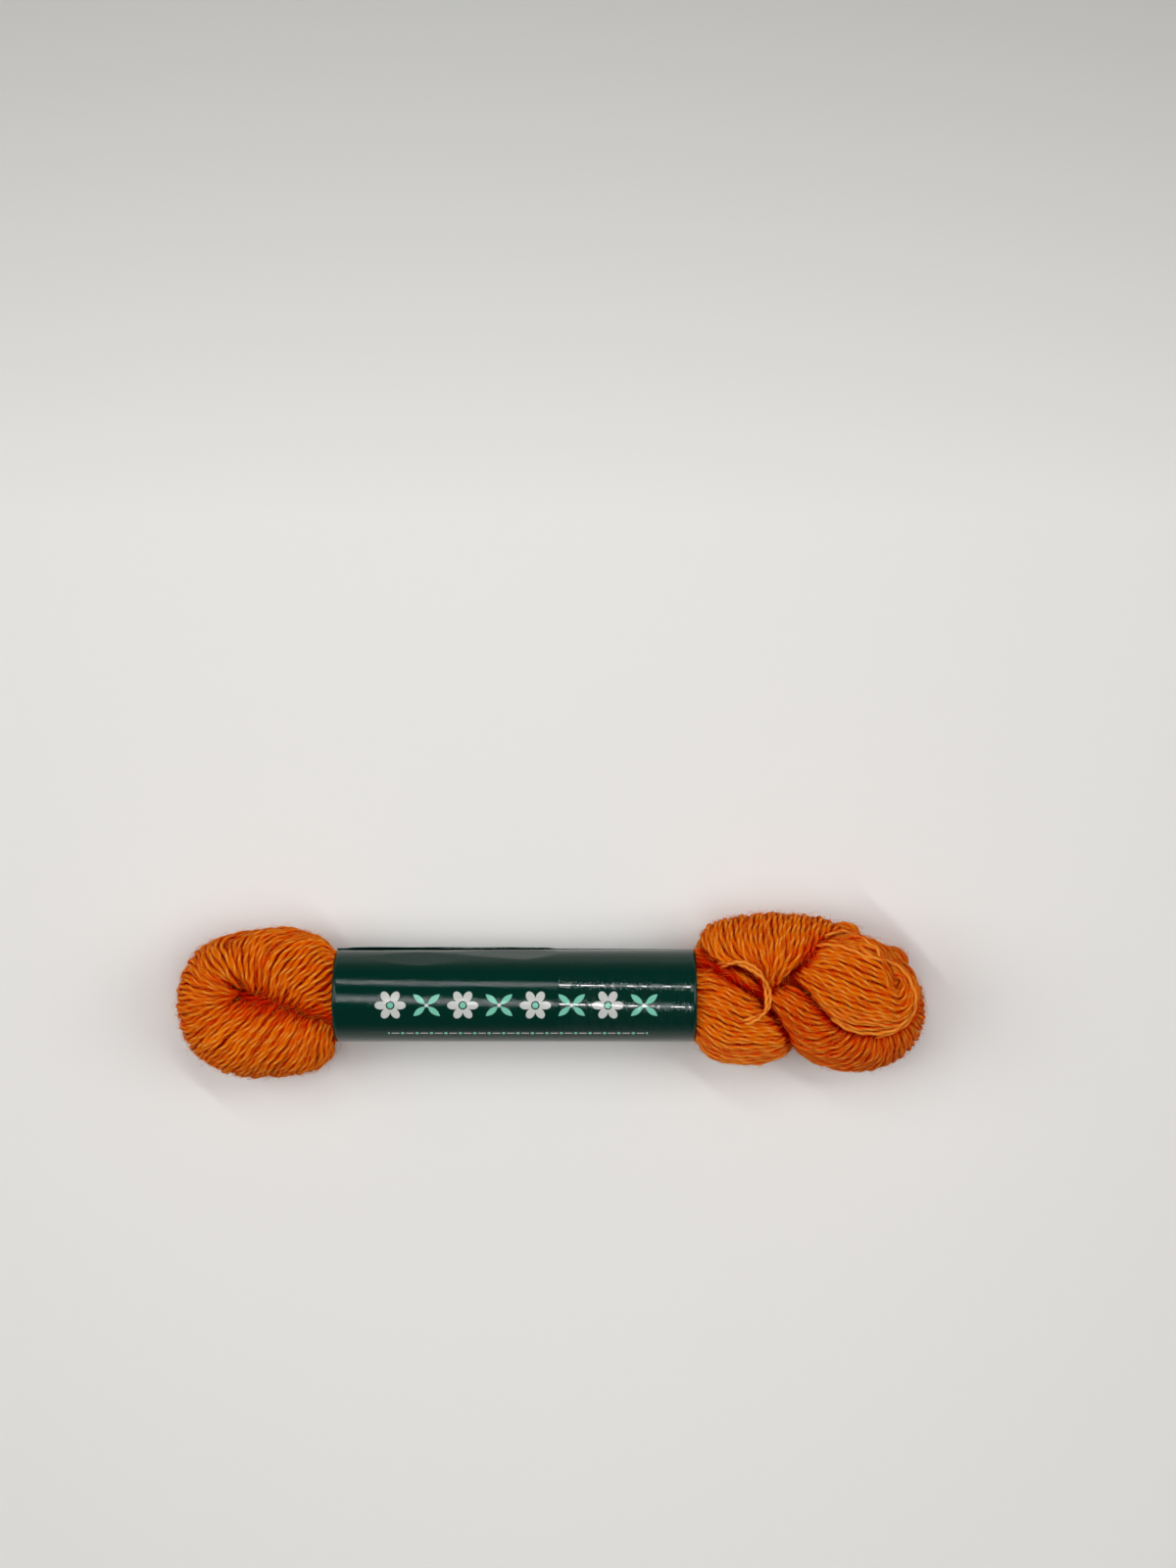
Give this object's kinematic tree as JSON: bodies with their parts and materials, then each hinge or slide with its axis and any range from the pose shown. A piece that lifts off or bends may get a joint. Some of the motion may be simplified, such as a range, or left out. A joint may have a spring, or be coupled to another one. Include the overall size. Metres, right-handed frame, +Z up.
{
  "type": "twisted hank of yarn with a paper label sleeve",
  "caption": "Hank of two-ply wool yarn, twisted and doubled back on itself, with a fold at one end, tucked loops at the other and a paper sleeve round its waist.",
  "frame": {"origin": "on the surface the hank lies on, under the middle of its box", "axes": "+X along the hank from the fold to the tucked loops, +Z up, +Y towards the side with the paper's glued overlap"},
  "size_m": [0.1079, 0.0241, 0.0163],
  "materials": {
    "wool_yarn": "matt, softly fuzzy two-ply wool",
    "coated_paper": "gloss coated paper"
  },
  "bodies": {
    "root": {"hank": "wool_yarn", "label_sleeve": "coated_paper"}
  },
  "joints": []
}
